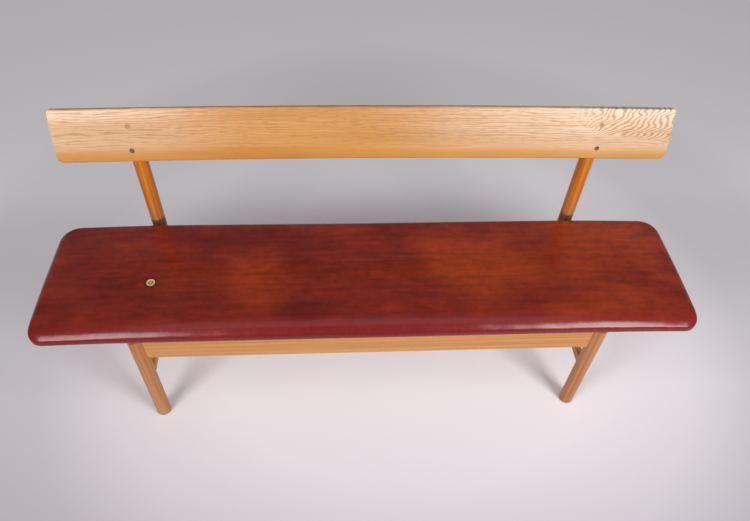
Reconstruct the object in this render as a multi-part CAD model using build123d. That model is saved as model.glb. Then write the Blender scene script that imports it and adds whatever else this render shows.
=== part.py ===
"""Oak bench with a leather seat and a plank backrest.

Millimetres, +Z up, +X along the seat, +Y to the back. The origin is on the floor under the
middle of the bench, half way between the seat's front edge and the back of the rear legs.
Left is the left of someone who stands in front of the bench.
"""
import math
import os

from build123d import *

# Seat: a plywood board, a thin foam pad and a leather cover turned under the board
seat_length = 1610.0
seat_depth = 360.0
seat_underside = 346.0
seat_edge_height = 46.7          # underside to the top of the long edges
seat_crown = 6.5                 # the middle of the seat above its long edges
front_corner_radius = 32.0
rear_corner_radius = 50.0
top_edge_radius = 20.0
bottom_edge_radius = 12.0
leather_thickness = 2.0
board_thickness = 15.0
board_edge_chamfer = 6.0
hem_width = 34.0
hem_corner_radius = 14.0

# Brass stud in the leather
stud_from_end = 268.0            # from the seat's left end
stud_from_front = 146.0
stud_diameter = 20.5
stud_rim_height = 1.3
stud_rim_width = 2.2
stud_groove_height = 0.5
stud_boss_diameter = 9.0
stud_boss_height = 1.1
stud_bed = 0.35                  # how deep the head presses into the leather
stud_barrel_diameter = 8.0
stud_barrel_length = 5.0

# Legs, turned round; the rear pair runs on up as the back's posts
leg_diameter = 37.0
leg_inset = 239.0                # leg centre in from the seat's end
front_leg_setback = 20.0         # leg centre behind the seat's front edge
rear_leg_gap = 15.0              # rear leg clear of the leather
rear_leg_height = 702.0
foot_chamfer = 3.5
post_top_chamfer = 2.5

# Long rails, front and rear, housed and tenoned in the legs
rail_height = 75.0
rail_thickness = 20.0
rail_face_offset = 7.0           # outer face beyond the leg centre
rail_shoulder = 11.0             # leg centre to the end of the rail's full section
rail_edge_radius = 2.5
rail_tenon_thickness = 10.0
rail_tenon_height = 54.0
rear_rail_drop = 12.0            # the rear rail's top edge lies this far under the seat's underside

# Short side rails under the seat, and the cross rail at mid length
side_rail_height = 60.0
side_rail_thickness = 18.0
side_rail_shoulder = 14.5
side_tenon_thickness = 8.0
side_tenon_height = 44.0
centre_rail_thickness = 22.0
centre_tenon_thickness = 10.0
centre_tenon_length = 8.0
centre_tenon_height = 34.0
centre_tenon_rise = 6.0          # above the cross rail's lower edge
mitre_gap = 0.6                  # between two mitred tenons inside a leg
fit_gap = 0.1                    # glue line, and play round dowels and screws

# Low side stretchers
stretcher_bottom = 160.0
stretcher_height = 27.0
stretcher_thickness = 16.0
stretcher_shoulder = 15.0
stretcher_tenon_length = 18.0
stretcher_tenon_thickness = 8.0
stretcher_tenon_height = 19.0
stretcher_edge_radius = 3.0

# Backrest plank: bowed in plan, its face rounded from edge to edge
back_overhang = 176.0            # the plank's end beyond the leg centre
back_width = 130.0
back_edge_thickness = 15.0
back_face_crown = 6.0            # middle of the front face ahead of its long edges
back_bow = 12.0                  # middle of the plank behind its ends
back_tilt = 17.4                 # degrees from upright
back_lead = 43.5                 # the lower front corners ahead of the leg centre
back_drop = 97.7                 # and those corners below the post's top
back_upper_corner_radius = 6.0
back_lower_corner_radius = 15.0
back_front_arris = 3.0
back_rear_chamfer = 3.0

# Backrest fixing: wooden dowels through the plank, two in each post
dowel_diameter = 12.0
dowel_heights = (29.0, 90.0)     # up the plank from its lower edge
dowel_depth = 10.0               # into the post

# Seat fixing: screws up through the side rails into the board
screw_diameter = 4.5
screw_head_diameter = 8.0
screw_head_height = 3.0
screw_length = 38.0              # under the head
screw_pocket_diameter = 10.0
screw_pocket_depth = 34.0
screw_inset = 80.0               # from the long rail's inner face

overrun = 5.0                    # how far a cut runs past the solid

# Places worked out from the sizes above
lean = math.radians(back_tilt)
back_reach = (back_bow - back_lead + back_edge_thickness * math.cos(lean)
              + (back_width - back_rear_chamfer) * math.sin(lean))   # rearmost edge behind the leg centre
overall_depth = seat_depth + rear_leg_gap + leg_diameter / 2 + max(leg_diameter / 2, back_reach)
seat_front = -overall_depth / 2
seat_rear = seat_front + seat_depth
seat_middle = (seat_front + seat_rear) / 2
seat_edge_top = seat_underside + seat_edge_height
seat_top = seat_edge_top + seat_crown
board_bottom = seat_underside + leather_thickness
board_top = board_bottom + board_thickness
leg_x = seat_length / 2 - leg_inset
front_leg_y = seat_front + front_leg_setback
rear_leg_y = seat_rear + rear_leg_gap + leg_diameter / 2
rail_bottom = seat_underside - rail_height
rail_inner_offset = rail_thickness - rail_face_offset
front_rail_inner = front_leg_y + rail_inner_offset
rear_rail_inner = rear_leg_y - rail_inner_offset
side_rail_bottom = seat_underside - side_rail_height
back_length = 2 * (leg_x + back_overhang)
back_place = Pos(0, rear_leg_y - back_lead, rear_leg_height - back_drop)


def arc_radius(chord, rise):
    """Radius of the arc that rises this much over the chord."""
    return (chord * chord / 4 + rise * rise) / (2 * rise)


def block(x_range, y_range, z_range):
    """A square-edged block between two corners."""
    lows = [min(r) for r in (x_range, y_range, z_range)]
    sizes = [max(r) - min(r) for r in (x_range, y_range, z_range)]
    return Pos(*lows) * Box(*sizes, align=(Align.MIN, Align.MIN, Align.MIN))


def upright_rod(diameter, bottom, top, x=0, y=0):
    """A round bar between two heights."""
    return Pos(x, y, bottom) * Cylinder(diameter / 2, top - bottom, align=(Align.CENTER, Align.CENTER, Align.MIN))


# Seat

def crown_height(y):
    """Height of the leather's top, as if its edges weren't rounded."""
    radius = arc_radius(seat_depth, seat_crown)
    return seat_top - radius + math.sqrt(radius ** 2 - (y - seat_middle) ** 2)


def seat_plan(inset):
    """Plan outline of the seat: tighter corners in front, wider ones behind."""
    face = Pos(0, seat_middle) * Rectangle(seat_length - 2 * inset, seat_depth - 2 * inset)
    face = fillet(face.vertices().sort_by(Axis.Y)[:2], front_corner_radius - inset)
    return fillet(face.vertices().sort_by(Axis.Y)[-2:], rear_corner_radius - inset)


def seat_form(inset):
    """The stuffed seat, crowned from front to back, this far inside the leather's outer face.

    The leather turns round its lower edge in an arc, over the board's plain chamfer.
    """
    bottom = seat_underside + inset
    front = seat_front - overrun
    rear = seat_rear + overrun
    low = bottom - overrun
    top_arc = ThreePointArc((0, front, crown_height(front) - inset), (0, seat_middle, seat_top - inset),
                            (0, rear, crown_height(rear) - inset))
    sides = Polyline(top_arc @ 0, (0, front, low), (0, rear, low), top_arc @ 1)
    crowned = extrude(make_face([top_arc, sides]), seat_length / 2 + overrun, dir=(1, 0, 0), both=True)
    form = crowned & Pos(0, 0, bottom) * extrude(seat_plan(inset), 2 * seat_edge_height)
    form = fillet(form.faces().sort_by(Axis.Z)[-1].edges(), top_edge_radius - inset)
    lower_edge = form.faces().sort_by(Axis.Z)[0].edges()
    return chamfer(lower_edge, board_edge_chamfer) if inset else fillet(lower_edge, bottom_edge_radius)


stud_x = stud_from_end - seat_length / 2
stud_y = seat_front + stud_from_front
stud_bed_height = crown_height(stud_y) - stud_bed


def brass_stud():
    """A round head with a raised rim and a low boss, on a barrel through the leather."""
    boss = stud_boss_diameter / 2
    head = stud_diameter / 2
    barrel = stud_barrel_diameter / 2
    profile = [(0, stud_boss_height), (boss, stud_boss_height), (boss, stud_groove_height),
               (head - stud_rim_width, stud_groove_height), (head - stud_rim_width, stud_rim_height),
               (head, stud_rim_height), (head, 0), (barrel, 0), (barrel, -stud_barrel_length),
               (0, -stud_barrel_length)]
    outline = Polyline(*[(radius, 0, height) for radius, height in profile], close=True)
    return Pos(stud_x, stud_y, stud_bed_height) * revolve(make_face(outline), Axis.Z)


def stud_seat():
    """What the stud takes out of the leather and the pad: its bed and the barrel's hole."""
    bed = upright_rod(stud_diameter, stud_bed_height, stud_bed_height + overrun, stud_x, stud_y)
    barrel_end = stud_bed_height - stud_barrel_length
    return bed + upright_rod(stud_barrel_diameter, barrel_end, stud_bed_height + overrun, stud_x, stud_y)


def screw_places():
    """Centres of the seat screws: two in each side rail."""
    rows = (front_rail_inner + screw_inset, rear_rail_inner - screw_inset)
    return [(x, y) for x in (-leg_x, leg_x) for y in rows]


screw_head_top = side_rail_bottom + screw_pocket_depth
screw_tip = screw_head_top + screw_length


def seat_cover():
    """Leather shell: outside form less inside form, open below inside its hem."""
    opening = Pos(0, seat_middle) * Rectangle(seat_length - 2 * hem_width, seat_depth - 2 * hem_width)
    opening = fillet(opening.vertices(), hem_corner_radius)
    shell = seat_form(0) - seat_form(leather_thickness) - stud_seat()
    return shell - Pos(0, 0, seat_underside - overrun) * extrude(opening, 2 * overrun)


def seat_board():
    """Plywood board with a chamfered lower edge, so that the leather turns round it."""
    slab = block((-seat_length, seat_length), (-seat_depth, seat_depth), (board_bottom, board_top))
    board = seat_form(leather_thickness) & slab
    for x, y in screw_places():
        board -= upright_rod(screw_diameter + 2 * fit_gap, board_bottom - overrun, screw_tip + fit_gap, x, y)
    return board


def seat_pad():
    """Foam on the board: it fills the rest of the leather's inside."""
    below = block((-seat_length, seat_length), (-seat_depth, seat_depth), (seat_underside, board_top))
    return seat_form(leather_thickness) - below - stud_seat()


def seat_screws():
    """The four screws that hold the seat down."""
    screw = upright_rod(screw_head_diameter, screw_head_top - screw_head_height, screw_head_top)
    screw += upright_rod(screw_diameter, screw_head_top, screw_tip)
    return Compound([Pos(x, y) * screw.solid() for x, y in screw_places()])


# Frame under the seat. Each member has a grown twin, which cuts its joints: grow is the play.

def tenon_prism(points, centre_height, tenon_height, grow):
    """A tenon with this outline in plan."""
    outline = make_face(Polyline(*points, close=True))
    bottom = centre_height - tenon_height / 2 - grow
    return Pos(0, 0, bottom) * extrude(outline, tenon_height + 2 * grow)


def mitred_tenons(leg_y, outward, grow):
    """Plan outlines of the two tenons that meet in the right-hand leg, mitred to each other.

    The first belongs to the long rail, the second to the side rail. For a mortise they run
    across the mitre, so that no thin wall is left between the two.
    """
    gap = -overrun / 2 if grow else mitre_gap
    middle = leg_y + outward * (rail_face_offset - rail_inner_offset) / 2
    long_in = middle - outward * (rail_tenon_thickness / 2 + grow)
    long_out = middle + outward * (rail_tenon_thickness / 2 + grow)
    side_in = leg_x - side_tenon_thickness / 2 - grow
    side_out = leg_x + side_tenon_thickness / 2 + grow
    root = leg_x - rail_shoulder - overrun
    side_root = leg_y - outward * (side_rail_shoulder + overrun)
    long_tenon = [(root, long_in), (side_in - gap, long_in), (side_out - gap, long_out), (root, long_out)]
    side_tenon = [(side_in, side_root), (side_in, long_in - outward * gap),
                  (side_out, long_out - outward * gap), (side_out, side_root)]
    return long_tenon, side_tenon


def long_rail(leg_y, outward, grow=0):
    """Front or rear rail: a board on edge, its full section let a little into both legs.

    The rear one lies behind the seat, so its top is set down, out of sight.
    """
    end = leg_x - rail_shoulder
    drop = rear_rail_drop if outward > 0 else 0
    top = seat_underside - drop
    outer = leg_y + outward * (rail_face_offset + grow)
    inner = leg_y - outward * (rail_inner_offset + grow)
    rail = block((-end, end), (inner, outer), (rail_bottom - grow, top + grow))
    rail = fillet(rail.edges().filter_by(Axis.X), rail_edge_radius)
    outline, _ = mitred_tenons(leg_y, outward, grow)
    tenon = tenon_prism(outline, (rail_bottom + top) / 2, rail_tenon_height - drop, grow)
    rail += tenon + tenon.mirror(Plane.YZ)
    return rail if grow else rail - centre_rail(fit_gap)


def screw_pocket(x, y):
    """Counterbore and clearance hole for a seat screw, from below."""
    pocket = upright_rod(screw_pocket_diameter, side_rail_bottom - overrun, screw_head_top, x, y)
    return pocket + upright_rod(screw_diameter + 2 * fit_gap, side_rail_bottom, seat_underside + overrun, x, y)


def side_rail(side, grow=0):
    """Short rail between a front and a rear leg, under the end of the seat."""
    half = side_rail_thickness / 2 + grow
    ends = (front_leg_y + side_rail_shoulder, rear_leg_y - side_rail_shoulder)
    rail = block((leg_x - half, leg_x + half), ends, (side_rail_bottom - grow, seat_underside + grow))
    for leg_y, outward in ((front_leg_y, -1), (rear_leg_y, 1)):
        _, outline = mitred_tenons(leg_y, outward, grow)
        rail += tenon_prism(outline, (side_rail_bottom + seat_underside) / 2, side_tenon_height, grow)
    if not grow:
        rail -= [screw_pocket(x, y) for x, y in screw_places() if x > 0]
    return rail if side > 0 else rail.mirror(Plane.YZ)


def centre_rail(grow=0):
    """Cross rail at mid length, with stub tenons in the long rails."""
    half = centre_rail_thickness / 2
    rail = block((-half, half), (front_rail_inner, rear_rail_inner), (side_rail_bottom, seat_underside))
    half_tenon = centre_tenon_thickness / 2 + grow
    reach = centre_tenon_length + grow
    tenon_bottom = side_rail_bottom + centre_tenon_rise
    heights = (tenon_bottom - grow, tenon_bottom + centre_tenon_height + grow)
    return rail + block((-half_tenon, half_tenon), (front_rail_inner - reach, rear_rail_inner + reach), heights)


def side_stretcher(side, grow=0):
    """Low stretcher between a front and a rear leg, with a plain tenon at each end."""
    half = stretcher_thickness / 2 + grow
    ends = (front_leg_y + stretcher_shoulder, rear_leg_y - stretcher_shoulder)
    heights = (stretcher_bottom - grow, stretcher_bottom + stretcher_height + grow)
    bar = block((leg_x - half, leg_x + half), ends, heights)
    bar = fillet(bar.edges().filter_by(Axis.Y), stretcher_edge_radius)
    half_tenon = stretcher_tenon_thickness / 2 + grow
    reach = stretcher_tenon_length + grow
    tenon_heights = ((2 * stretcher_bottom + stretcher_height - stretcher_tenon_height) / 2 - grow,
                     (2 * stretcher_bottom + stretcher_height + stretcher_tenon_height) / 2 + grow)
    bar += block((leg_x - half_tenon, leg_x + half_tenon), (ends[0] - reach, ends[1] + reach), tenon_heights)
    return bar if side > 0 else bar.mirror(Plane.YZ)


def turned_leg(height, leg_y, outward):
    """The right-hand leg of a pair with its mortises: a round bar with a chamfered foot."""
    leg = upright_rod(leg_diameter, 0, height, leg_x, leg_y)
    leg = chamfer(leg.edges().filter_by(GeomType.CIRCLE).sort_by(Axis.Z)[0], foot_chamfer)
    return leg - long_rail(leg_y, outward, fit_gap) - side_rail(1, fit_gap) - side_stretcher(1, fit_gap)


def front_leg(side):
    """Front leg, cut off level under the seat."""
    leg = turned_leg(seat_underside, front_leg_y, -1)
    return leg if side > 0 else leg.mirror(Plane.YZ)


def rear_leg(side):
    """Rear leg and post: its top is sliced to a slanting seat for the back of the plank."""
    leg = turned_leg(rear_leg_height, rear_leg_y, 1)
    leg = chamfer(leg.edges().filter_by(GeomType.CIRCLE).sort_by(Axis.Z)[-1], post_top_chamfer)
    ahead = back_edge_thickness - 2 * leg_diameter
    room = Polyline((0, ahead, -back_width), (0, back_edge_thickness, -back_width),
                    (0, back_edge_thickness, 2 * back_width), (0, ahead, 2 * back_width), close=True)
    leg -= back_place * bowed(make_face(room))
    leg -= back_place * Compound([dowel_blank(leg_x, height, fit_gap) for height in dowel_heights])
    return leg if side > 0 else leg.mirror(Plane.YZ)


# Backrest. The lower front corners of its ends lie on the X axis until the plank is put in place.

dowel_places = [(side * leg_x, height) for side in (-1, 1) for height in dowel_heights]
bow_radius = arc_radius(back_length, back_bow)


def plank_frame(x):
    """The plank's own upright frame at this place along it: leaned back, and set back by the bow."""
    bow = back_bow - bow_radius + math.sqrt(bow_radius ** 2 - x ** 2)
    return Pos(0, bow, 0) * Rot(-back_tilt, 0, 0)


def bowed(section):
    """An upright section through the plank, leaned back and carried along the bow past both ends."""
    bend = Axis((0, back_bow - bow_radius, 0), (0, 0, 1))
    half_angle = math.degrees(math.asin((back_length / 2 + overrun) / bow_radius))
    return revolve((plank_frame(0) * section).rotate(bend, -half_angle), bend, 2 * half_angle)


def corner_waste(side, height, upward, radius):
    """What is rounded off one corner of the plank's end."""
    centre = side * (back_length / 2 - radius)
    rounded = Pos(centre, height - upward * radius) * Circle(radius)
    square = Pos(centre + side * radius, height) * Rectangle(2 * radius, 2 * radius)
    square -= Pos(centre + side * 2 * radius, height - upward * 2 * radius) * Rectangle(4 * radius, 2 * radius)
    return plank_frame(centre) * extrude(Plane.XZ * (square - rounded), 2 * back_bow + back_edge_thickness, both=True)


def plank_blank():
    """The plank before it is drilled: rounded face, plain back, eased edges, rounded corners."""
    face_arc = ThreePointArc((0, 0, 0), (0, -back_face_crown, back_width / 2), (0, 0, back_width))
    sides = Polyline(face_arc @ 1, (0, back_edge_thickness, back_width), (0, back_edge_thickness, 0),
                     face_arc @ 0)
    section = make_face([face_arc, sides])
    section = fillet(section.vertices().sort_by(Axis.Y)[:2], back_front_arris)
    section = chamfer(section.vertices().sort_by(Axis.Y)[-2:], back_rear_chamfer)
    plank = bowed(section) & Box(back_length, 4 * back_width, 4 * back_width)
    for side in (-1, 1):
        plank -= corner_waste(side, 0, -1, back_lower_corner_radius)
        plank -= corner_waste(side, back_width, 1, back_upper_corner_radius)
    return plank


def dowel_blank(x, height, grow=0):
    """A round bar square to the plank, from well ahead of it to its end in the post."""
    start = -back_face_crown - overrun
    length = back_edge_thickness + dowel_depth + grow - start
    bar = upright_rod(dowel_diameter + 2 * grow, 0, length)
    return plank_frame(x) * Pos(x, start, height) * Rot(-90, 0, 0) * bar


def backrest():
    """The plank with its dowel holes."""
    return back_place * (plank_blank() - [dowel_blank(x, height, fit_gap) for x, height in dowel_places])


def backrest_dowels():
    """Dowels through the plank into the posts, their ends cut flush with the plank's face."""
    behind = block((-back_length, back_length), (back_edge_thickness / 2, back_edge_thickness + dowel_depth + overrun),
                   (0, back_width))
    room = plank_blank() + plank_frame(leg_x) * behind
    dowels = [room & dowel_blank(x, height) for x, height in dowel_places]
    return back_place * Compound([solid for dowel in dowels for solid in dowel.solids()])


pieces = {
    "seat_board": seat_board(),
    "seat_pad": seat_pad(),
    "seat_cover": seat_cover(),
    "brass_stud": brass_stud(),
    "seat_screws": seat_screws(),
    "front_rail": long_rail(front_leg_y, -1),
    "rear_rail": long_rail(rear_leg_y, 1),
    "centre_rail": centre_rail(),
    "backrest": backrest(),
    "backrest_dowels": backrest_dowels(),
}
for side_name, side in (("left", -1), ("right", 1)):
    pieces["front_leg_" + side_name] = front_leg(side)
    pieces["rear_leg_" + side_name] = rear_leg(side)
    pieces["side_rail_" + side_name] = side_rail(side)
    pieces["side_stretcher_" + side_name] = side_stretcher(side)

os.makedirs("parts", exist_ok=True)
for name, piece in pieces.items():
    export_step(piece, "parts/" + name + ".step")
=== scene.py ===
import math

import bmesh
import bpy
import numpy as np
from mathutils import Matrix, Vector


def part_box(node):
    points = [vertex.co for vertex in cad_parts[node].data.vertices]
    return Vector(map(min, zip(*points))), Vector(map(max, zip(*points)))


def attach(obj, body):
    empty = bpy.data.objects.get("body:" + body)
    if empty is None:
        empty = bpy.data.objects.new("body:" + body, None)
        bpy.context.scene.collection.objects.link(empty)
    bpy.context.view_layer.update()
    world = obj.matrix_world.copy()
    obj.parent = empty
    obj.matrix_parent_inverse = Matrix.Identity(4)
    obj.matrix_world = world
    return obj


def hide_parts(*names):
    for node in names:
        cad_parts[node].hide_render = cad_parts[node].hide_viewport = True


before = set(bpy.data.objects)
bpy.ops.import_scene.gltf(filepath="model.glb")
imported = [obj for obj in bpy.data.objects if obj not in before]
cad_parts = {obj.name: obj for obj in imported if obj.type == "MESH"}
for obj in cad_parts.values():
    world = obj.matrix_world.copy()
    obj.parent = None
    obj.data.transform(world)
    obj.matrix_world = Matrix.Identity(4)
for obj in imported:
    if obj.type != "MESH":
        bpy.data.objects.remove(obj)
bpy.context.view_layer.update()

# The studio. The bench stands on pale grey seamless paper. Two softboxes stand low in front of it,
# left and right of the camera, and a weak one hangs overhead; the room behind them is dim. The
# camera looks down on the seat from above its front edge, a little left of the middle.


def linear(code):
    """An sRGB hex colour as linear RGBA."""
    parts = [int(code[i:i + 2], 16) / 255 for i in (1, 3, 5)]
    return tuple(c / 12.92 if c <= 0.04045 else ((c + 0.055) / 1.055) ** 2.4 for c in parts) + (1.0,)


def add(tree, kind, settings=None, stops=(), **links):
    """Adds a node with its settings, then its links or plain values, to sockets by name or as in0, in1.

    A colour ramp's stops are its lowest, its highest, and then those between them.
    """
    node = tree.nodes.new(kind)
    for key, value in (settings or {}).items():
        setattr(node, key, value)
    for key, value in links.items():
        by_number = key.startswith("in") and key[2:].isdigit()
        socket = node.inputs[int(key[2:])] if by_number else node.inputs[key.replace("_", " ")]
        if isinstance(value, bpy.types.NodeSocket):
            tree.links.new(value, socket)
        else:
            socket.default_value = value
    for index, (position, code) in enumerate(stops):
        ramp = node.color_ramp.elements
        element = ramp[index] if index < 2 else ramp.new(position)
        element.position = position
        element.color = linear(code)
    return node


def new_material(name):
    """A material, its node tree and its one Principled shader."""
    material = bpy.data.materials.new(name)
    material.use_nodes = True
    return material, material.node_tree, material.node_tree.nodes["Principled BSDF"]


# Paper with a matt coating: no grain and no gloss. Its colour is a painted pool of light under the bench,
# with painted shade that darkens it towards the pool's rim and towards the camera. Distances are in metres.
paper, tree, shader = new_material("seamless_paper_coated")
painted_pool_middle = (0.12, 0.15, 0.0)
painted_pool_reach = 2.0
place = add(tree, "ShaderNodeTexCoord").outputs["Object"]
depth = add(tree, "ShaderNodeSeparateXYZ", Vector=place).outputs["Y"]
from_painted_pool = add(tree, "ShaderNodeVectorMath", {"operation": "DISTANCE"}, in0=place,
                in1=painted_pool_middle).outputs["Value"]
painted_pool_falloff = add(tree, "ShaderNodeMath", {"operation": "MULTIPLY"}, in0=from_painted_pool,
               in1=1 / painted_pool_reach).outputs[0]
# Painted light: the paper's tone is palest in the pool's middle and darker outwards.
tone = add(tree, "ShaderNodeValToRGB", Fac=painted_pool_falloff,
           stops=((0.30, "#E8E2E6"), (0.70, "#B8B3B7"), (0.44, "#DAD4D8"), (0.54, "#C4BFC3")))
# Painted shade: the paper darkens towards the camera.
from_camera = add(tree, "ShaderNodeMapRange", Value=depth, From_Min=-0.9, From_Max=-0.15).outputs["Result"]
painted_shade_to_camera = add(tree, "ShaderNodeValToRGB", Fac=from_camera,
          stops=((0.0, "#D0CED2"), (1.0, "#FFFFFF"), (0.45, "#D8D6DA"))).outputs["Color"]
tone = add(tree, "ShaderNodeMix", {"data_type": "RGBA", "blend_type": "MULTIPLY"}, in0=1.0,
           in6=tone.outputs["Color"], in7=painted_shade_to_camera).outputs[2]
tree.links.new(tone, shader.inputs["Base Color"])
shader.inputs["Roughness"].default_value = 0.75
# Behind the bench the paper has a painted glow, an emission that the camera and the shiny pieces see and that
# lights nothing.
painted_glow = add(tree, "ShaderNodeMapRange", Value=from_painted_pool, From_Min=0.35, From_Max=1.6, To_Min=0.0,
           To_Max=0.21).outputs["Result"]
behind = add(tree, "ShaderNodeMapRange", Value=depth, From_Min=-0.1, From_Max=0.7).outputs["Result"]
painted_glow = add(tree, "ShaderNodeMath", {"operation": "MULTIPLY"}, in0=painted_glow, in1=behind).outputs[0]
rays = add(tree, "ShaderNodeLightPath").outputs
seen = add(tree, "ShaderNodeMath", {"operation": "MAXIMUM"}, in0=rays["Is Camera Ray"],
           in1=rays["Is Glossy Ray"]).outputs[0]
seen = add(tree, "ShaderNodeMath", {"operation": "MAXIMUM"}, in0=seen,
           in1=rays["Is Transmission Ray"]).outputs[0]
painted_glow = add(tree, "ShaderNodeMath", {"operation": "MULTIPLY"}, in0=painted_glow, in1=seen).outputs[0]
shader.inputs["Emission Color"].default_value = linear("#FFFFFD")
tree.links.new(painted_glow, shader.inputs["Emission Strength"])
floor_mesh = bpy.data.meshes.new("paper_floor")
floor_mesh.from_pydata([(-8, -8, 0), (8, -8, 0), (8, 9, 0), (-8, 9, 0)], [], [(0, 1, 2, 3)])
floor_mesh.materials.append(paper)
floor = bpy.data.objects.new("paper_floor", floor_mesh)
bpy.context.collection.objects.link(floor)

# Places and sizes are in metres, and powers in watts.
for name, stand, aim, size, power in (
        ("softbox_left", (-1.44, -1.7, 1.55), (0.0, 0.0, 0.3), (0.9, 1.0), 35),
        ("softbox_right", (1.44, -1.7, 1.55), (0.0, 0.0, 0.3), (0.9, 1.0), 47),
        ("overhead_softbox", (0.0, -1.0, 3.2), (0.0, -0.2, 0.0), (3.0, 1.4), 12)):
    lamp = bpy.data.lights.new(name, "AREA")
    lamp.shape = "RECTANGLE"
    lamp.size, lamp.size_y = size
    lamp.energy = power
    lamp_object = bpy.data.objects.new(name, lamp)
    facing = (Vector(aim) - Vector(stand)).to_track_quat("-Z", "Y").to_matrix().to_4x4()
    lamp_object.matrix_world = Matrix.Translation(stand) @ facing
    bpy.context.collection.objects.link(lamp_object)

world = bpy.data.worlds.new("studio_room")
bpy.context.scene.world = world
world.use_nodes = True
world.node_tree.nodes["Background"].inputs["Color"].default_value = linear("#F0F0F6")
world.node_tree.nodes["Background"].inputs["Strength"].default_value = 0.34
bpy.context.scene.view_settings.view_transform = "Standard"

# The camera's lens, place and angles were solved from the bench's edges in the picture.
camera_data = bpy.data.cameras.new("camera")
camera_data.lens = 30.733
camera = bpy.data.objects.new("camera", camera_data)
yaw, pitch, roll = (math.radians(a) for a in (5.163, 48.479, 2.963))
camera.matrix_world = (Matrix.Translation((-0.0838, -1.0788, 1.6214)) @ Matrix.Rotation(-yaw, 4, "Z")
                       @ Matrix.Rotation(math.pi / 2 - pitch, 4, "X") @ Matrix.Rotation(roll, 4, "Z"))
bpy.context.collection.objects.link(camera)
bpy.context.scene.camera = camera


# Legs, rails and stretchers. European oak, the legs turned and the rest planed, all oiled. The
# long rails are housed in the legs and tenoned, and the side rails and flat stretchers are
# tenoned into the legs.

MM = 0.001


def per(*sizes):
    """Texture scales that repeat a pattern about once in each of these sizes in millimetres."""
    return tuple(1 / (size * MM) for size in sizes)


def oak(name, along, light, mid, dark, wear=None):
    """Oiled oak with its grain along X, Y or Z, and what wear(...) adds to its colour."""
    material, tree, shader = new_material(name)
    place = add(tree, "ShaderNodeTexCoord").outputs["Object"]
    # Oiled oak: soft bands of growth rings 5 to 9 mm apart, and open pores in short dashes. The
    # pores are 1 mm and finer on the piece, and drawn 1.5 mm wide so that they show.
    ring_sizes, pore_sizes = [8, 8, 8], [1.5, 1.5, 1.5]
    ring_sizes["XYZ".index(along)] = 520
    pore_sizes["XYZ".index(along)] = 24
    rings = add(tree, "ShaderNodeMapping", Vector=place, Scale=per(*ring_sizes)).outputs["Vector"]
    rings = add(tree, "ShaderNodeTexNoise", Vector=rings, Scale=1.0, Detail=3.0, Roughness=0.6).outputs["Fac"]
    colour = add(tree, "ShaderNodeValToRGB", Fac=rings,
                 stops=((0.36, dark), (0.62, light), (0.49, mid))).outputs["Color"]
    pores = add(tree, "ShaderNodeMapping", Vector=place, Scale=per(*pore_sizes)).outputs["Vector"]
    pores = add(tree, "ShaderNodeTexNoise", Vector=pores, Scale=1.0, Detail=2.0).outputs["Fac"]
    pores = add(tree, "ShaderNodeValToRGB", Fac=pores,
                stops=((0.56, "#000000"), (0.72, "#FFFFFF"))).outputs["Color"]
    weight = add(tree, "ShaderNodeMath", {"operation": "MULTIPLY"}, in0=pores, in1=0.28).outputs[0]
    colour = add(tree, "ShaderNodeMix", {"data_type": "RGBA"}, in0=weight, in6=colour,
                 in7=linear("#6B3E1C")).outputs[2]
    if wear:
        colour = wear(tree, place, rings, colour)
    tree.links.new(colour, shader.inputs["Base Color"])
    bump = add(tree, "ShaderNodeBump", {"invert": True}, Strength=0.25, Distance=0.3 * MM, Height=pores)
    tree.links.new(bump.outputs["Normal"], shader.inputs["Normal"])
    # The oil shines a little more on the pale, dense wood than on the dark bands.
    rough = add(tree, "ShaderNodeMapRange", Value=rings, From_Min=0.35, From_Max=0.65, To_Min=0.46,
                To_Max=0.38)
    tree.links.new(rough.outputs["Result"], shader.inputs["Roughness"])
    return material


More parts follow.
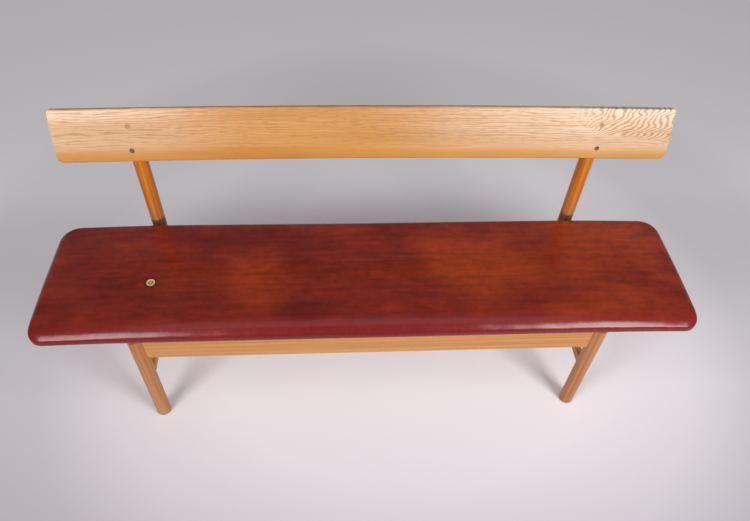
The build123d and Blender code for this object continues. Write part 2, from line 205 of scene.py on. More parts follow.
def post_wear(tree, place, rings, colour):
    """A post turns orange above the seat, where hands oil it, and dark beside the leather on its seat side: a
    stain of wax and dust, with painted shade at the joint."""
    stain_and_shade_foot, stain_and_shade_full, stain_and_shade_gone = 352 * MM, 378 * MM, 388 * MM     # heights above the floor
    seat_side, far_side = 176 * MM, 194 * MM                              # depths at the post
    apart = add(tree, "ShaderNodeSeparateXYZ", Vector=place).outputs
    handled = add(tree, "ShaderNodeMapRange", Value=apart["Z"], From_Min=stain_and_shade_full,
                  From_Max=stain_and_shade_gone + 60 * MM, To_Min=0.0, To_Max=0.85).outputs["Result"]
    orange = add(tree, "ShaderNodeValToRGB", Fac=rings,
                 stops=((0.38, "#AE560A"), (0.62, "#D07C1E"))).outputs["Color"]
    colour = add(tree, "ShaderNodeMix", {"data_type": "RGBA"}, in0=handled, in6=colour,
                 in7=orange).outputs[2]
    # The dark mark's edge wanders by 6 mm in patches of about 9 mm.
    patches = add(tree, "ShaderNodeTexNoise", Vector=place, Scale=per(9)[0], Detail=3.0).outputs["Fac"]
    height = add(tree, "ShaderNodeMath", {"operation": "MULTIPLY_ADD"}, in0=patches, in1=-6 * MM,
                 in2=apart["Z"]).outputs[0]
    # The dark mark: a stain of wax and dust, with painted shade at the joint with the seat.
    stain_and_shade = add(tree, "ShaderNodeMapRange", {"interpolation_type": "SMOOTHSTEP"}, Value=height,
                From_Min=stain_and_shade_full, From_Max=stain_and_shade_gone, To_Min=0.8, To_Max=0.0).outputs["Result"]
    above_foot = add(tree, "ShaderNodeMapRange", Value=height, From_Min=stain_and_shade_foot,
                     From_Max=stain_and_shade_foot + 6 * MM).outputs["Result"]
    stain_and_shade = add(tree, "ShaderNodeMath", {"operation": "MULTIPLY"}, in0=stain_and_shade, in1=above_foot).outputs[0]
    near_seat = add(tree, "ShaderNodeMapRange", {"interpolation_type": "SMOOTHSTEP"}, Value=apart["Y"],
                    From_Min=seat_side, From_Max=far_side, To_Min=1.0, To_Max=0.0).outputs["Result"]
    stain_and_shade = add(tree, "ShaderNodeMath", {"operation": "MULTIPLY"}, in0=stain_and_shade, in1=near_seat).outputs[0]
    return add(tree, "ShaderNodeMix", {"data_type": "RGBA"}, in0=stain_and_shade, in6=colour,
               in7=linear("#4A2008")).outputs[2]


def dress(material, *nodes):
    """Gives CAD nodes this material alone."""
    for node in nodes:
        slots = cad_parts[node].data.materials
        slots.clear()
        slots.append(material)


# Planed oak: straight, quiet stripes from end to end, yellower on the long rails. Turned oak: the
# same stripes up the leg, in a browner tone.
dress(oak("oak_planed_oiled_long_rails", "X", "#C2884A", "#BA7F40", "#B07436"), "front_rail", "rear_rail")
dress(oak("oak_planed_oiled_crosswise", "Y", "#B27B42", "#A87239", "#9B652E"),
      "centre_rail", "side_rail_left", "side_rail_right", "side_stretcher_left", "side_stretcher_right")
dress(oak("oak_turned_oiled", "Z", "#B37A44", "#A86E38", "#99602C", post_wear),
      "front_leg_left", "front_leg_right", "rear_leg_left", "rear_leg_right")


# The seat board and its screws. Birch plywood, sanded and left bare underneath, on the side rails
# and the cross rail. Four zinc-plated steel screws hold it, driven up through the side rails.

# Sanded birch veneer: pale, matt and quiet, with long faint streaks along its grain. They are
# 14 mm wide on the faces, and 1.5 mm, a ply's thickness, through the board.
plywood, tree, shader = new_material("birch_plywood_sanded")
place = add(tree, "ShaderNodeTexCoord").outputs["Object"]
veneer = add(tree, "ShaderNodeMapping", Vector=place, Scale=per(600, 14, 1.5)).outputs["Vector"]
veneer = add(tree, "ShaderNodeTexNoise", Vector=veneer, Scale=1.0, Detail=4.0).outputs["Fac"]
colour = add(tree, "ShaderNodeValToRGB", Fac=veneer, stops=((0.35, "#BFA478"), (0.65, "#CEB488")))
tree.links.new(colour.outputs["Color"], shader.inputs["Base Color"])
bump = add(tree, "ShaderNodeBump", Strength=0.15, Distance=0.3 * MM, Height=veneer)
tree.links.new(bump.outputs["Normal"], shader.inputs["Normal"])
shader.inputs["Roughness"].default_value = 0.65
dress(plywood, "seat_board")

# Zinc-plated steel: a pale grey metal, brighter and duller in spots of about 2 mm.
steel, tree, shader = new_material("steel_zinc_plated")
place = add(tree, "ShaderNodeTexCoord").outputs["Object"]
spots = add(tree, "ShaderNodeTexNoise", Vector=place, Scale=per(2)[0], Detail=3.0).outputs["Fac"]
colour = add(tree, "ShaderNodeValToRGB", Fac=spots, stops=((0.3, "#A9A8A4"), (0.7, "#C9C8C4")))
tree.links.new(colour.outputs["Color"], shader.inputs["Base Color"])
rough = add(tree, "ShaderNodeMapRange", Value=spots, To_Min=0.30, To_Max=0.50)
tree.links.new(rough.outputs["Result"], shader.inputs["Roughness"])
shader.inputs["Metallic"].default_value = 1.0
dress(steel, "seat_screws")


# The seat. One hide of thick cowhide is pulled over foam on the plywood board, turned under it and
# tacked there. The corners are worked round without pleats. The seat has sagged a little at its
# two free ends, and use has rippled the front edge.

low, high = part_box("seat_cover")
half_length = high.x
front, rear, underside, crown_top = low.y, high.y, low.z, high.z
middle = (front + rear) / 2
crown = 6.5 * MM
hem = 34 * MM                         # how far the leather is turned in under the board
raw_edge = 4 * MM                     # the hem's cut edge, up to where the board hides it
bottom_rounding = 12 * MM
front_corner, rear_corner, least_corner = 32 * MM, 50 * MM, 14 * MM
cells_x, cells_y = 184, 42            # about 9 mm each
border = 2 * (cells_x + cells_y)


def plan_ring(inset):
    """The seat's outline this far inside its edge, as the border of a cells_x by cells_y grid.

    Each side runs from the middle of one rounded corner to the middle of the next.
    """
    at_front = max(front_corner - inset, least_corner)
    at_rear = max(rear_corner - inset, least_corner)
    x1, y0, y1 = half_length - inset, front + inset, rear - inset
    corners = ((-1, y0, at_front, 225), (1, y0, at_front, 315), (1, y1, at_rear, 45), (-1, y1, at_rear, 135))
    half_corner = math.pi / 4
    points = []
    for index, cells in enumerate((cells_x, cells_y, cells_x, cells_y)):
        two = []
        for sign, y, radius, angle in (corners[index], corners[(index + 1) % 4]):
            centre_y = y + (radius if y == y0 else -radius)
            two.append((sign * (x1 - radius), centre_y, radius, math.radians(angle)))
        (cx0, cy0, r0, a0), (cx1, cy1, r1, a1) = two
        arc0, arc1 = r0 * half_corner, r1 * half_corner
        start = (cx0 + r0 * math.cos(a0 + half_corner), cy0 + r0 * math.sin(a0 + half_corner))
        end = (cx1 + r1 * math.cos(a1 - half_corner), cy1 + r1 * math.sin(a1 - half_corner))
        straight = math.dist(start, end)
        total = arc0 + straight + arc1
        for step in range(cells):
            gone = total * step / cells
            if gone < arc0:
                angle = a0 + gone / r0
                points.append((cx0 + r0 * math.cos(angle), cy0 + r0 * math.sin(angle)))
            elif gone < arc0 + straight:
                t = (gone - arc0) / straight
                points.append((start[0] + t * (end[0] - start[0]), start[1] + t * (end[1] - start[1])))
            else:
                angle = a1 - (total - gone) / r1
                points.append((cx1 + r1 * math.cos(angle), cy1 + r1 * math.sin(angle)))
    return np.array(points)


def crown_height(y):
    """The leather's top before the ends sag."""
    return crown_top - crown * ((y - middle) / ((rear - front) / 2)) ** 2


def arc_steps(count):
    """Angles in equal steps over a quarter turn, both ends included."""
    return [math.pi / 2 * step / count for step in range(count + 1)]


# From the hem's raw edge out to the side, in pairs of inset and height. The side is nearly upright.
profile = [(hem, raw_edge), (hem, 0.6 * MM), (hem - 0.8 * MM, 0.0), (27 * MM, 0.0), (19 * MM, 0.0)]
profile += [(bottom_rounding * (1 - math.sin(a)), bottom_rounding * (1 - math.cos(a))) for a in arc_steps(5)]
profile += [(0.0, 16 * MM)]
rings = []
for inset, height in profile:
    rings.append(np.column_stack([plan_ring(inset), np.full(border, underside + height)]))
# Over the top, in pairs of inset and drop below the crown, in millimetres: an even rounding at the
# ends and the rear, and at the front a longer fall to a tighter turn, where sitters have pressed
# the foam down. The front's share fades out over 45 mm.
top_rounding = 20.0
even = [(0.0, 26.5), (0.0, 23.0)]
even += [(top_rounding * (1 - math.cos(a)), top_rounding * (1 - math.sin(a))) for a in arc_steps(8)[1:]]
even += [(30.0, 0.0), (45.0, 0.0), (60.0, 0.0)]
pressed = [(0.0, 30.0), (0.0, 26.5), (0.5, 23.4), (1.8, 21.0), (5.0, 17.8), (9.0, 14.2), (13.5, 10.6),
           (20.0, 7.1), (28.0, 4.5), (38.0, 2.6), (48.0, 1.3), (57.0, 0.5), (66.0, 0.0)]
pressed_share = np.clip((front + 45 * MM - plan_ring(0.0)[:, 1]) / (45 * MM), 0, 1)
pressed_share = pressed_share ** 2 * (3 - 2 * pressed_share)
for pairs in zip(even, pressed):
    ring, level = 0.0, 0.0
    for (inset, drop), share in zip(pairs, (1 - pressed_share, pressed_share)):
        crown_ring = plan_ring(max(inset, top_rounding) * MM)
        ring = ring + plan_ring(inset * MM) * share[:, None]
        level = level + (crown_height(crown_ring[:, 1]) - drop * MM) * share
    rings.append(np.column_stack([ring, level]))

vertices = [tuple(point) for ring in rings for point in ring]
faces = []
for index in range(len(rings) - 1):
    lower, upper = index * border, (index + 1) * border
    for i in range(border):
        j = (i + 1) % border
        faces.append((lower + i, lower + j, upper + j, upper + i))


def fill(ring_index, height, upward):
    """Fills a ring with a grid of quads, blended from its four sides."""
    first, edge = ring_index * border, rings[ring_index]
    grid = {}
    for i in range(cells_x + 1):
        grid[i, 0] = first + i
        grid[cells_x - i, cells_y] = first + cells_x + cells_y + i
    for j in range(cells_y + 1):
        grid[cells_x, j] = first + cells_x + j
        grid[0, cells_y - j] = first + (2 * cells_x + cells_y + j) % border
    at = {key: edge[index - first][:2] for key, index in grid.items()}
    for i in range(1, cells_x):
        for j in range(1, cells_y):
            u, v = i / cells_x, j / cells_y
            point = ((1 - v) * at[i, 0] + v * at[i, cells_y] + (1 - u) * at[0, j] + u * at[cells_x, j]
                     - (1 - u) * (1 - v) * at[0, 0] - u * (1 - v) * at[cells_x, 0]
                     - (1 - u) * v * at[0, cells_y] - u * v * at[cells_x, cells_y])
            grid[i, j] = len(vertices)
            vertices.append((point[0], point[1], height(point[1])))
    for i in range(cells_x):
        for j in range(cells_y):
            quad = (grid[i, j], grid[i + 1, j], grid[i + 1, j + 1], grid[i, j + 1])
            faces.append(quad if upward else quad[::-1])


fill(len(rings) - 1, crown_height, True)
fill(0, lambda y: underside + raw_edge, False)
seat_mesh = bpy.data.meshes.new("leather_seat")
seat_mesh.from_pydata(vertices, [], faces)
seat_mesh.update()
seat = bpy.data.objects.new("leather_seat", seat_mesh)
bpy.context.collection.objects.link(seat)

# The ends sag from here outwards, measured from the seat's middle, and by this much at the tip:
# the top first, then the underside, which the board keeps straighter.
top_bends_from, underside_bends_from = 500 * MM, 590 * MM
top_sag_at_tip, underside_sag_at_tip = 8.5 * MM, 5 * MM
# Ripples run along the front edge and fade out over 60 mm. Three waves make them up, each with its
# height in mm, its length over two pi in mm, and its phase.
ripples = ((0.45, 61, 1.3), (0.30, 23, 0.0), (0.25, 12, 2.0))
ripples_reach = 60 * MM
# The flat has hollows up to 0.9 mm deep, which fade out over 50 mm towards the stud. They begin
# 38 mm above the underside, and are full 6 mm higher.
hollow_depth = 0.9 * MM
hollow_from = 38 * MM
stud_reach = 50 * MM


def sag(x):
    """How far the top, then the underside, has come down at this place along the seat."""
    top = max(0.0, abs(x) - top_bends_from) / (half_length - top_bends_from)
    bottom = max(0.0, abs(x) - underside_bends_from) / (half_length - underside_bends_from)
    return top_sag_at_tip * top ** 1.6, underside_sag_at_tip * bottom ** 2


stud_low, stud_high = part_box("brass_stud")
stud_x, stud_y = (stud_low.x + stud_high.x) / 2, (stud_low.y + stud_high.y) / 2
edge_height = crown_top - crown - underside
for vertex in seat_mesh.vertices:
    x, y = vertex.co.x, vertex.co.y
    height = vertex.co.z - underside
    share = min(1.0, max(0.0, height / edge_height))
    top_sag, underside_sag = sag(x)
    near_front = max(0.0, 1 - (y - front) / ripples_reach)
    ripple = sum(size * math.sin(x / (length * MM) + phase) for size, length, phase in ripples) * MM
    from_stud = math.hypot(x - stud_x, y - stud_y) / stud_reach
    rolling = 0.5 + 0.5 * math.sin(x / (130 * MM) + 2.1 * math.sin(y / (110 * MM)))
    hollow = rolling * hollow_depth * min(1.0, from_stud ** 2)
    on_flat = min(1.0, max(0.0, height - hollow_from) / (6 * MM))
    vertex.co.z -= (share * top_sag + (1 - share) * underside_sag + share * near_front * ripple
                    + on_flat * hollow * (1 - near_front))
for polygon in seat_mesh.polygons:
    polygon.use_smooth = True

# The foam pushes the leather up until it is taut: the flat starts a little low and swells in a
# cloth simulation. The leather is held against the board's edge, up to some height above the
# underside, and under the stud's rim, as far as this from its middle.
slack, most_move = 2 * MM, 3 * MM
flat_begins, flat_full, flat_above = 20 * MM, 60 * MM, 25 * MM
held_up_to, held_round_stud = 21 * MM, 14 * MM
last_frame = 20
start = np.array([vertex.co[:] for vertex in seat_mesh.vertices])
to_sides = np.minimum(start[:, 1] - front, rear - start[:, 1])
from_edge = np.minimum(half_length - abs(start[:, 0]), to_sides)
flatness = np.clip((from_edge - flat_begins) / (flat_full - flat_begins), 0.0, 1.0)
start[:, 2] -= slack * flatness * (start[:, 2] > underside + flat_above)
held = seat.vertex_groups.new(name="held")
for vertex in seat_mesh.vertices:
    vertex.co = start[vertex.index]
    from_stud = math.hypot(vertex.co.x - stud_x, vertex.co.y - stud_y)
    if vertex.co.z < underside + held_up_to or from_stud < held_round_stud:
        held.add([vertex.index], 1.0, "REPLACE")
cloth = seat.modifiers.new("cloth", "CLOTH")
cloth.settings.vertex_group_mass = "held"
cloth.settings.quality = 4
cloth.settings.mass = 0.4
cloth.settings.tension_stiffness = 40
cloth.settings.compression_stiffness = 40
cloth.settings.shear_stiffness = 20
cloth.settings.bending_stiffness = 8
cloth.settings.use_pressure = True
cloth.settings.uniform_pressure_force = 0.5
cloth.settings.effector_weights.gravity = 0
cloth.point_cache.frame_start = 1
cloth.point_cache.frame_end = last_frame
for step in range(1, last_frame + 1):
    bpy.context.scene.frame_set(step)
swollen = seat.evaluated_get(bpy.context.evaluated_depsgraph_get()).data
move = np.array([vertex.co[:] for vertex in swollen.vertices]) - start
length = np.maximum(np.linalg.norm(move, axis=1), 1e-9)
move *= (most_move * np.tanh(length / most_move) / length)[:, None]
seat.modifiers.remove(cloth)
seat.vertex_groups.remove(held)
for vertex, point in zip(seat_mesh.vertices, start + move):
    vertex.co = point
bpy.context.scene.frame_set(1)
subdivision = seat.modifiers.new("subdivision", "SUBSURF")
subdivision.levels = subdivision.render_levels = 1

# Cowhide, aniline dyed and waxed by hand. The dye soaks in unevenly, so its red lies in clouds,
# faint streaks and a mottle, and the wax gives a low, soft gloss. Use has rubbed the right half to
# orange brown.
leather, tree, shader = new_material("cowhide_aniline_waxed")
place = add(tree, "ShaderNodeTexCoord").outputs["Object"]
apart = add(tree, "ShaderNodeSeparateXYZ", Vector=place).outputs
clouds = add(tree, "ShaderNodeMapping", Vector=place, Scale=per(200, 110, 110)).outputs["Vector"]
clouds = add(tree, "ShaderNodeTexNoise", Vector=clouds, Scale=1.0, Detail=6.0, Roughness=0.62).outputs["Fac"]
colour = add(tree, "ShaderNodeValToRGB", Fac=clouds,
             stops=((0.30, "#62180E"), (0.72, "#963218"), (0.45, "#771F13"), (0.56, "#822615")))
right_half = add(tree, "ShaderNodeMapRange", {"interpolation_type": "SMOOTHSTEP"}, Value=apart["X"],
                 From_Min=0.0, From_Max=320 * MM, To_Min=-0.04, To_Max=0.20).outputs["Result"]
rubbed = add(tree, "ShaderNodeTexNoise", Vector=place, Scale=per(300)[0], Detail=2.0).outputs["Fac"]
rubbed = add(tree, "ShaderNodeMath", {"operation": "ADD"}, in0=rubbed, in1=right_half).outputs[0]
rubbed = add(tree, "ShaderNodeMapRange", {"interpolation_type": "SMOOTHSTEP"}, Value=rubbed,
             From_Min=0.46, From_Max=0.72, To_Min=0.0, To_Max=0.75).outputs["Result"]
colour = add(tree, "ShaderNodeMix", {"data_type": "RGBA"}, in0=rubbed, in6=colour.outputs["Color"],
             in7=linear("#A63D15")).outputs[2]
# Streaks 12 mm wide along the seat, then a mottle of 16 by 30 mm.
for sizes, roughness, dark in (((220, 12, 30), 0.60, "#7E7676"), ((30, 16, 16), 0.65, "#7A6E6C")):
    shade = add(tree, "ShaderNodeMapping", Vector=place, Scale=per(*sizes)).outputs["Vector"]
    shade = add(tree, "ShaderNodeTexNoise", Vector=shade, Scale=1.0, Detail=5.0, Roughness=roughness)
    shade = add(tree, "ShaderNodeValToRGB", Fac=shade.outputs["Fac"],
                stops=((0.36, dark), (0.60, "#FFFFFF"))).outputs["Color"]
    colour = add(tree, "ShaderNodeMix", {"data_type": "RGBA", "blend_type": "MULTIPLY"}, in0=0.30,
                 in6=colour, in7=shade).outputs[2]
# The front is painted a little darker, painted shade that holds down the lamps' stronger light there, and its
# rounded edge is painted a darker, purer red, more painted shade on the face the lamps light most.
painted_front_shade = add(tree, "ShaderNodeMapRange", Value=apart["Y"], From_Min=front, From_Max=rear).outputs["Result"]
painted_front_shade = add(tree, "ShaderNodeValToRGB", Fac=painted_front_shade, stops=((0.15, "#E4DCD8"), (0.75, "#FFFFFF")))
colour = add(tree, "ShaderNodeMix", {"data_type": "RGBA", "blend_type": "MULTIPLY"}, in0=1.0, in6=colour,
             in7=painted_front_shade.outputs["Color"]).outputs[2]
# Painted shade on the rounded front edge.
painted_edge_shade = add(tree, "ShaderNodeMapRange", {"interpolation_type": "SMOOTHSTEP"}, Value=apart["Y"],
                 From_Min=front + 4 * MM, From_Max=front + 52 * MM, To_Min=0.75, To_Max=0.0)
colour = add(tree, "ShaderNodeMix", {"data_type": "RGBA"}, in0=painted_edge_shade.outputs["Result"], in6=colour,
             in7=linear("#701418")).outputs[2]
# Grime, and painted shade in the dimple round the stud, darken a ring 12 to 21 mm from its middle.
from_stud = add(tree, "ShaderNodeVectorMath", {"operation": "DISTANCE"}, in0=place,
                in1=(stud_x, stud_y, stud_high.z)).outputs["Value"]
grime_and_shade = add(tree, "ShaderNodeMapRange", {"interpolation_type": "SMOOTHSTEP"}, Value=from_stud,
            From_Min=12 * MM, From_Max=21 * MM, To_Min=0.6, To_Max=0.0).outputs["Result"]
colour = add(tree, "ShaderNodeMix", {"data_type": "RGBA"}, in0=grime_and_shade, in6=colour,
             in7=linear("#3A100B")).outputs[2]
tree.links.new(colour, shader.inputs["Base Color"])
# The grain is about 1 mm across, drawn 1.6 mm so that it shows, over creases of 10 by 20 mm.
grain = add(tree, "ShaderNodeTexVoronoi", {"feature": "DISTANCE_TO_EDGE"}, Vector=place, Scale=per(1.6)[0])
creases = add(tree, "ShaderNodeMapping", Vector=place, Scale=per(10, 20, 10)).outputs["Vector"]
creases = add(tree, "ShaderNodeTexNoise", Vector=creases, Scale=1.0, Detail=1.5).outputs["Fac"]
bump = add(tree, "ShaderNodeBump", Strength=0.16, Distance=0.8 * MM, Height=creases)
bump = add(tree, "ShaderNodeBump", Strength=0.06, Distance=0.2 * MM, Height=grain.outputs["Distance"],
           Normal=bump.outputs["Normal"])
tree.links.new(bump.outputs["Normal"], shader.inputs["Normal"])
rough = add(tree, "ShaderNodeMapRange", Value=creases, From_Min=0.3, From_Max=0.7, To_Min=0.21, To_Max=0.33)
tree.links.new(rough.outputs["Result"], shader.inputs["Roughness"])
shader.inputs["Specular IOR Level"].default_value = 0.14
shader.inputs["Coat Weight"].default_value = 0.32
shader.inputs["Coat Roughness"].default_value = 0.18
seat_mesh.materials.append(leather)
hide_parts("seat_cover", "seat_pad")
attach(seat, "root")


# The hem's tacks. Blued steel upholstery tacks with low domed heads, hammered through the
# turned-under leather into the plywood about 45 mm apart. There are none above the rails.

tack_spacing, tack_inset = 45 * MM, 26 * MM
head_radius, head_height = 4 * MM, 1.3 * MM
head_sides, head_rows = 14, 4
sunk = 0.2 * MM                       # how far a head is driven into the leather
tack_line = plan_ring(tack_inset)
gaps = np.linalg.norm(np.diff(np.vstack([tack_line, tack_line[:1]]), axis=0), axis=1)
walked = np.concatenate([[0], np.cumsum(gaps)])
count = round(walked[-1] / tack_spacing)
covered = [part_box(node) for node in ("front_rail", "side_rail_left", "side_rail_right", "centre_rail",
                                     "front_leg_left", "front_leg_right")]
tacks = bmesh.new()
for step in range(count):
    x, y = tack_line[np.searchsorted(walked, walked[-1] * (step + 0.5) / count) % len(tack_line)]
    if any(a.x - head_radius < x < b.x + head_radius and a.y - head_radius < y < b.y + head_radius
           for a, b in covered):
        continue
    level = underside - sag(x)[1]
    outer = None
    for a in arc_steps(head_rows)[:-1]:
        radius = head_radius * math.cos(a)
        height = level + sunk - (head_height + sunk) * math.sin(a)
        turns = [math.tau * k / head_sides for k in range(head_sides)]
        circle = [tacks.verts.new((x + radius * math.cos(turn), y + radius * math.sin(turn), height))
                  for turn in turns]
        if outer is None:
            tacks.faces.new(circle)
        else:
            for k in range(head_sides):
                tacks.faces.new((outer[k - 1], circle[k - 1], circle[k], outer[k]))
        outer = circle
    tip = tacks.verts.new((x, y, level - head_height))
    for k in range(head_sides):
        tacks.faces.new((outer[k - 1], tip, outer[k]))
bmesh.ops.recalc_face_normals(tacks, faces=tacks.faces)
tack_mesh = bpy.data.meshes.new("hem_tacks")
tacks.to_mesh(tack_mesh)
tacks.free()
for polygon in tack_mesh.polygons:
    polygon.use_smooth = True
hem_tacks = bpy.data.objects.new("hem_tacks", tack_mesh)
bpy.context.collection.objects.link(hem_tacks)

# Blued steel: a thin dark oxide, almost black, worn brighter in specks of about 1 mm.
blued, tree, shader = new_material("steel_blued")
place = add(tree, "ShaderNodeTexCoord").outputs["Object"]
specks = add(tree, "ShaderNodeTexNoise", Vector=place, Scale=per(1.2)[0], Detail=3.0).outputs["Fac"]
colour = add(tree, "ShaderNodeValToRGB", Fac=specks, stops=((0.45, "#2C2E34"), (0.75, "#6E6A66")))
tree.links.new(colour.outputs["Color"], shader.inputs["Base Color"])
rough = add(tree, "ShaderNodeMapRange", Value=specks, To_Min=0.30, To_Max=0.55)
tree.links.new(rough.outputs["Result"], shader.inputs["Roughness"])
shader.inputs["Metallic"].default_value = 1.0
tack_mesh.materials.append(blued)
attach(hem_tacks, "root")


# The brass stud. A turned brass disc with a raised rim, pressed into the left half of the seat.
# Its recessed ring has kept the dark patina that wiping takes off the rim and the middle.

# Turned and waxed brass: faint rings from the lathe, and a film of oxide and wax that scatters the
# light, so it looks pale and not like a mirror.
brass, tree, shader = new_material("brass_turned_waxed")
place = add(tree, "ShaderNodeTexCoord").outputs["Object"]
on_plan = add(tree, "ShaderNodeMapping", Vector=place, Scale=(1.0, 1.0, 0.0)).outputs["Vector"]
from_middle = add(tree, "ShaderNodeVectorMath", {"operation": "DISTANCE"}, in0=on_plan,
                  in1=(stud_x, stud_y, 0.0)).outputs["Value"]
stud_radius = (stud_high.x - stud_low.x) / 2
from_middle = add(tree, "ShaderNodeMath", {"operation": "DIVIDE"}, in0=from_middle,
                  in1=stud_radius).outputs[0]
colour = add(tree, "ShaderNodeValToRGB", Fac=from_middle,
             stops=((0.0, "#CDB07A"), (1.0, "#E6CF9C"), (0.26, "#C3A066"), (0.40, "#96733F"),
                    (0.56, "#9C7A46"), (0.72, "#DCC188")))
tree.links.new(colour.outputs["Color"], shader.inputs["Base Color"])
# The lathe's rings are finer than 0.2 mm, and drawn 1.1 mm apart so that they show: from the middle
# to the rim that is 60 radians of a sine.
lathe = add(tree, "ShaderNodeMath", {"operation": "MULTIPLY"}, in0=from_middle, in1=60.0).outputs[0]
lathe = add(tree, "ShaderNodeMath", {"operation": "SINE"}, in0=lathe).outputs[0]
bump = add(tree, "ShaderNodeBump", Strength=0.15, Distance=0.1 * MM, Height=lathe)
tree.links.new(bump.outputs["Normal"], shader.inputs["Normal"])
smudges = add(tree, "ShaderNodeTexNoise", Vector=place, Scale=per(4)[0], Detail=3.0).outputs["Fac"]
rough = add(tree, "ShaderNodeMapRange", Value=smudges, To_Min=0.34, To_Max=0.56)
tree.links.new(rough.outputs["Result"], shader.inputs["Roughness"])
shader.inputs["Metallic"].default_value = 0.45
dress(brass, "brass_stud")


# The backrest plank. One flat-sawn oak board, bowed along its length and crowned on its face,
# planed, sanded and oiled. It rests on seats cut in the back posts.

plank_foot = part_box("backrest")[0].z
WAVE_PERIOD = math.tau / 20           # a wave texture's own period, before its scale


def wave(spacing):
    """The mapping scale that puts a wave texture's lines this many millimetres apart."""
    return WAVE_PERIOD / (spacing * MM)


# Flat-sawn oak, oiled: the saw ran nearly along the growth rings, so they show as broad figure,
# straight along most of the board and in nested arches at its right-hand end.
oak_plank, tree, shader = new_material("oak_flat_sawn_oiled")
place = add(tree, "ShaderNodeTexCoord").outputs["Object"]
apart = add(tree, "ShaderNodeSeparateXYZ", Vector=place).outputs
# Lines 6 mm apart and nearly straight along the board.
straight = add(tree, "ShaderNodeMapping", Vector=place, Scale=(wave(85), 0.0, wave(6.0))).outputs["Vector"]
straight = add(tree, "ShaderNodeTexWave", {"bands_direction": "Z"}, Vector=straight, Scale=1.0,
               Distortion=15.0, Detail=2.5, Detail_Scale=1.1, Detail_Roughness=0.55).outputs["Fac"]
straight = add(tree, "ShaderNodeMath", {"operation": "MULTIPLY"}, in0=straight, in1=0.72).outputs[0]
# The right-hand end's lines are 13 mm apart along the board. Each falls to the left from the upper
# edge along a logarithm, kinks 6 mm above a slanted foot and runs out flat there. The foot comes
# down 13 mm in each 100 mm to the right.
arches_foot = plank_foot + 133 * MM
slanted = add(tree, "ShaderNodeMath", {"operation": "MULTIPLY_ADD"}, in0=apart["X"], in1=0.13,
              in2=apart["Z"]).outputs[0]
fall = add(tree, "ShaderNodeMath", {"operation": "SUBTRACT"}, in0=slanted, in1=arches_foot).outputs[0]
fall = add(tree, "ShaderNodeMath", {"operation": "MAXIMUM"}, in0=fall, in1=6 * MM).outputs[0]
fall = add(tree, "ShaderNodeMath", {"operation": "LOGARITHM"}, in0=fall, in1=math.e).outputs[0]
fall = add(tree, "ShaderNodeMath", {"operation": "MULTIPLY_ADD"}, in0=fall, in1=-40 * MM,
           in2=apart["X"]).outputs[0]
fall = add(tree, "ShaderNodeCombineXYZ", X=fall, Z=apart["Z"]).outputs["Vector"]
arches = add(tree, "ShaderNodeMapping", Vector=fall, Scale=(wave(13.0), 1.0, per(15)[0])).outputs["Vector"]
arches = add(tree, "ShaderNodeTexWave", {"bands_direction": "X"}, Vector=arches, Scale=1.0,
             Distortion=14.0, Detail=1.5, Detail_Scale=0.75, Detail_Roughness=0.45).outputs["Fac"]
right_end = add(tree, "ShaderNodeMapRange", {"interpolation_type": "SMOOTHSTEP"}, Value=apart["X"],
                From_Min=470 * MM, From_Max=600 * MM).outputs["Result"]
upper_half = add(tree, "ShaderNodeMapRange", {"interpolation_type": "SMOOTHSTEP"}, Value=slanted,
                 From_Min=arches_foot + 5 * MM, From_Max=arches_foot + 17 * MM).outputs["Result"]
arched = add(tree, "ShaderNodeMath", {"operation": "MULTIPLY"}, in0=right_end, in1=upper_half).outputs[0]
lines = add(tree, "ShaderNodeMix", in0=arched, in2=straight, in3=arches).outputs[0]
# Lines and pores show less towards the lower edge.
strength = add(tree, "ShaderNodeMapRange", {"interpolation_type": "SMOOTHSTEP"}, Value=apart["Z"],
               From_Min=plank_foot + 15 * MM, From_Max=plank_foot + 75 * MM, To_Min=0.20,
               To_Max=0.85).outputs["Result"]
dark_line = add(tree, "ShaderNodeMapRange", {"interpolation_type": "SMOOTHSTEP"}, Value=lines,
                From_Min=0.35, From_Max=0.95).outputs["Result"]
dark_line = add(tree, "ShaderNodeMath", {"operation": "MULTIPLY"}, in0=dark_line, in1=strength).outputs[0]
# The board's upper part is painted paler, a painted sheen of the softboxes: least round the middle, more
# towards both ends. Its lower edge stays golden. Both tones vary in long streaks 30 mm high.
tone = add(tree, "ShaderNodeMapping", Vector=place, Scale=per(450, 1000, 30)).outputs["Vector"]
tone = add(tree, "ShaderNodeTexNoise", Vector=tone, Scale=1.0, Detail=3.0).outputs["Fac"]
gold = add(tree, "ShaderNodeValToRGB", Fac=tone, stops=((0.35, "#B97726"), (0.65, "#C38534")))
pale = add(tree, "ShaderNodeValToRGB", Fac=tone, stops=((0.35, "#C59A72"), (0.65, "#D2AC88")))
# Painted sheen: the upper part mixes towards the pale tone.
painted_sheen = add(tree, "ShaderNodeMapRange", {"interpolation_type": "SMOOTHSTEP"}, Value=apart["Z"],
               From_Min=plank_foot + 2 * MM, From_Max=plank_foot + 58 * MM).outputs["Result"]
ends = add(tree, "ShaderNodeMath", {"operation": "ADD"}, in0=apart["X"], in1=150 * MM).outputs[0]
ends = add(tree, "ShaderNodeMath", {"operation": "ABSOLUTE"}, in0=ends).outputs[0]
ends = add(tree, "ShaderNodeMapRange", {"interpolation_type": "SMOOTHSTEP"}, Value=ends,
           From_Min=120 * MM, From_Max=420 * MM, To_Min=0.28, To_Max=1.0).outputs["Result"]
painted_sheen = add(tree, "ShaderNodeMath", {"operation": "MULTIPLY"}, in0=painted_sheen, in1=ends).outputs[0]
ground = add(tree, "ShaderNodeMix", {"data_type": "RGBA"}, in0=painted_sheen, in6=gold.outputs["Color"],
             in7=pale.outputs["Color"]).outputs[2]
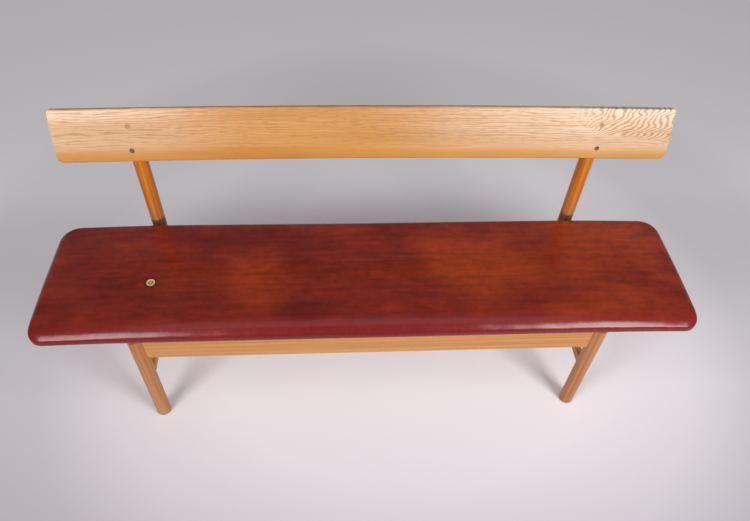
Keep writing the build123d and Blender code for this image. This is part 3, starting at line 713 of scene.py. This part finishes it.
# More painted sheen: the right end is painted paler still, most at the right.
paler = add(tree, "ShaderNodeVectorMath", {"operation": "MULTIPLY"}, in0=ground,
            in1=(1.04, 1.19, 1.38)).outputs[0]
right_third = add(tree, "ShaderNodeMapRange", {"interpolation_type": "SMOOTHSTEP"}, Value=apart["X"],
                  From_Min=150 * MM, From_Max=650 * MM).outputs["Result"]
ground = add(tree, "ShaderNodeMix", {"data_type": "RGBA"}, in0=right_third, in6=ground, in7=paler).outputs[2]
colour = add(tree, "ShaderNodeMix", {"data_type": "RGBA"}, in0=dark_line, in6=ground,
             in7=linear("#A8743E")).outputs[2]
# Open pores lie in dashes along the lines, finer than 0.3 mm on the board and drawn 1.8 mm wide
# so that they show.
pores = add(tree, "ShaderNodeMapping", Vector=place, Scale=per(24, 1000, 1.8)).outputs["Vector"]
pores = add(tree, "ShaderNodeTexNoise", Vector=pores, Scale=1.0, Detail=2.0).outputs["Fac"]
pores = add(tree, "ShaderNodeMapRange", Value=pores, From_Min=0.53, From_Max=0.68).outputs["Result"]
pores = add(tree, "ShaderNodeMath", {"operation": "MULTIPLY"}, in0=pores, in1=strength).outputs[0]
weight = add(tree, "ShaderNodeMath", {"operation": "MULTIPLY"}, in0=pores, in1=0.42).outputs[0]
colour = add(tree, "ShaderNodeMix", {"data_type": "RGBA"}, in0=weight, in6=colour,
             in7=linear("#80481E")).outputs[2]
tree.links.new(colour, shader.inputs["Base Color"])
bump = add(tree, "ShaderNodeBump", {"invert": True}, Strength=0.2, Distance=0.3 * MM, Height=pores)
tree.links.new(bump.outputs["Normal"], shader.inputs["Normal"])
rough = add(tree, "ShaderNodeMapRange", Value=dark_line, To_Min=0.34, To_Max=0.46)
tree.links.new(rough.outputs["Result"], shader.inputs["Roughness"])
dress(oak_plank, "backrest")


# The four dowels. Dark hardwood pegs, glued through the plank's face into each post and cut flush, so their
# end grain shows. The lower two are darker.

# Oiled end grain: it drinks the oil, so it is darker and duller than the face of the plank, with
# dark pores. They are finer than 0.3 mm, and drawn 1.6 mm so that they show.
dowel_low, dowel_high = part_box("backrest_dowels")
dowel_wood, tree, shader = new_material("hardwood_end_grain_oiled")
place = add(tree, "ShaderNodeTexCoord").outputs["Object"]
height = add(tree, "ShaderNodeSeparateXYZ", Vector=place).outputs["Z"]
between = add(tree, "ShaderNodeMapRange", Value=height, From_Min=dowel_low.z, From_Max=dowel_high.z)
colour = add(tree, "ShaderNodeValToRGB", Fac=between.outputs["Result"],
             stops=((0.35, "#74492A"), (0.65, "#A07C62"))).outputs["Color"]
pores = add(tree, "ShaderNodeTexVoronoi", Vector=place, Scale=per(1.6)[0]).outputs["Distance"]
pores = add(tree, "ShaderNodeMapRange", Value=pores, From_Min=0.0, From_Max=0.5, To_Min=0.35,
            To_Max=0.0).outputs["Result"]
colour = add(tree, "ShaderNodeMix", {"data_type": "RGBA"}, in0=pores, in6=colour,
             in7=linear("#3E2413")).outputs[2]
tree.links.new(colour, shader.inputs["Base Color"])
bump = add(tree, "ShaderNodeBump", {"invert": True}, Strength=0.2, Distance=0.2 * MM, Height=pores)
tree.links.new(bump.outputs["Normal"], shader.inputs["Normal"])
rough = add(tree, "ShaderNodeMapRange", Value=pores, From_Max=0.35, To_Min=0.50, To_Max=0.62)
tree.links.new(rough.outputs["Result"], shader.inputs["Roughness"])
dress(dowel_wood, "backrest_dowels")
